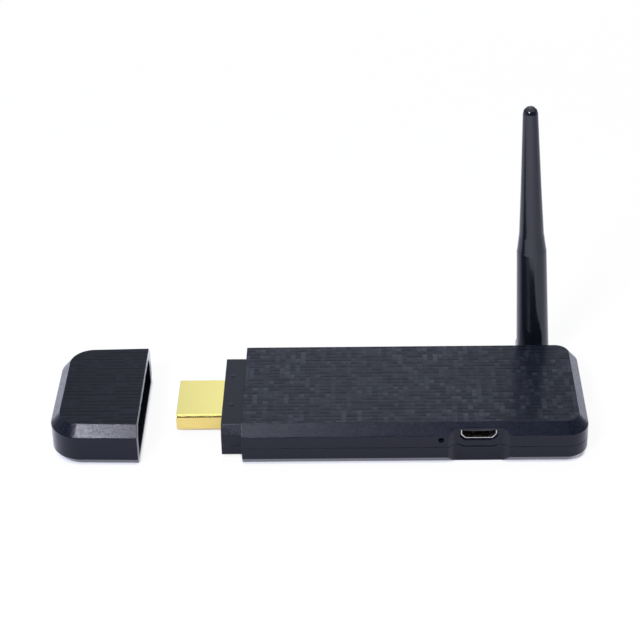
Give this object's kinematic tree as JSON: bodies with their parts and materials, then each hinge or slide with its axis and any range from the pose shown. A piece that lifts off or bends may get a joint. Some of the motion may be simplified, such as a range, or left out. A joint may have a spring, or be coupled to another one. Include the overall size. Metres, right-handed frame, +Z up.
{
  "type": "wireless display dongle",
  "caption": "Flat stick with a video plug on a stepped neck, a slide-on end cap, a power socket in its side and a swivel antenna.",
  "frame": {"origin": "middle of the stick's underside", "axes": "+X from the video plug towards the antenna end, +Y towards the antenna's side, +Z up"},
  "size_m": [0.1122, 0.0404, 0.0639],
  "materials": {
    "shell_plastic": "fine satin moulding with a pixel mosaic on the top",
    "antenna_plastic": "glossy black",
    "gold_plate": "smooth gold plating",
    "black_insulator": "moulded, matte",
    "socket_steel": "plain nickel finish",
    "spring_steel": "plain",
    "circuit_board": "satin solder mask",
    "chip_resin": "matte resin",
    "thermal_gel": "soft, matte",
    "spreader_aluminium": "brushed",
    "crystal_can": "satin",
    "capacitor_ceramic": "ceramic with tinned ends",
    "inductor_ferrite": "ferrite",
    "lead_jacket": "smooth",
    "hinge_nylon": "smooth",
    "antenna_brass": "plain",
    "button_plastic": "smooth"
  },
  "bodies": {
    "stick": {"upper_shell": "shell_plastic", "lower_shell": "shell_plastic", "video_plug_shell": "gold_plate", "video_plug_insulator": "black_insulator", "video_plug_contacts": "gold_plate", "main_board": "circuit_board", "processor": "chip_resin", "thermal_pad": "thermal_gel", "memory_chip": "chip_resin", "flash_chip": "chip_resin", "wireless_module_board": "circuit_board", "clock_crystal": "crystal_can", "heat_spreader": "spreader_aluminium", "wireless_module_shield": "socket_steel", "ceramic_capacitors": "capacitor_ceramic", "power_inductors": "inductor_ferrite", "power_socket_shell": "socket_steel", "power_socket_tongue": "black_insulator", "power_socket_contacts": "gold_plate", "reset_switch_case": "black_insulator", "reset_switch_plate": "spring_steel", "coaxial_jack": "gold_plate", "coaxial_lead_plug": "gold_plate", "antenna_lead": "lead_jacket", "friction_washer": "spring_steel"},
    "cap": {"end_cap": "shell_plastic"},
    "reset": {"reset_button": "button_plastic"},
    "antenna": {"antenna_sleeve": "antenna_plastic", "antenna_knuckle_cover": "antenna_plastic", "antenna_ground_tube": "antenna_brass", "antenna_crimp_ring": "antenna_brass", "antenna_whip": "antenna_brass", "antenna_feed": "lead_jacket", "antenna_hinge_pin": "hinge_nylon"}
  },
  "joints": [
    {"name": "cap_slide", "type": "slide", "parent": "stick", "child": "cap", "axis": [1, 0, 0], "range_m": [0, 0.02155]},
    {"name": "antenna_hinge", "type": "hinge", "parent": "stick", "child": "antenna", "pos_m": [0.0271, 0.0203, 0.0041], "axis": [0, 1, 0], "range_deg": [-87.33, 92.67]},
    {"name": "reset_press", "type": "slide", "parent": "stick", "child": "reset", "axis": [0, 1, 0], "range_m": [0, 0.00025], "stiffness_N_per_m": 1500}
  ]
}
